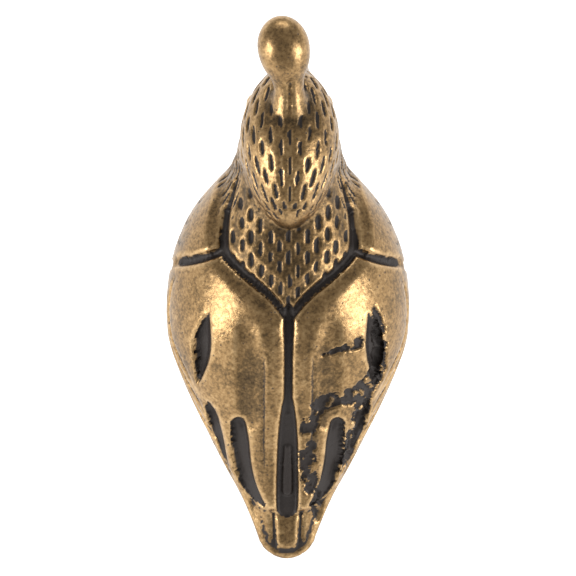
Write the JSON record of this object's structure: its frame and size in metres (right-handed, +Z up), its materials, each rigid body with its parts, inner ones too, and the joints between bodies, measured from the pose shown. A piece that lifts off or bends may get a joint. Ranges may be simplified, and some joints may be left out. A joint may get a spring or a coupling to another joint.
{
  "type": "brass quail figurine",
  "caption": "Small solid cast brass quail with a topknot plume and folded wings, standing on its own feet.",
  "frame": {"origin": "on the ground, under the middle of the bird's length and width", "axes": "+Z up, the bird faces -Y, and its left side is +X"},
  "size_m": [0.018, 0.033, 0.0356],
  "materials": {
    "aged_brass": "worn brass with dark patina in the recesses"
  },
  "bodies": {
    "root": {"quail_figurine": "aged_brass"}
  },
  "joints": []
}
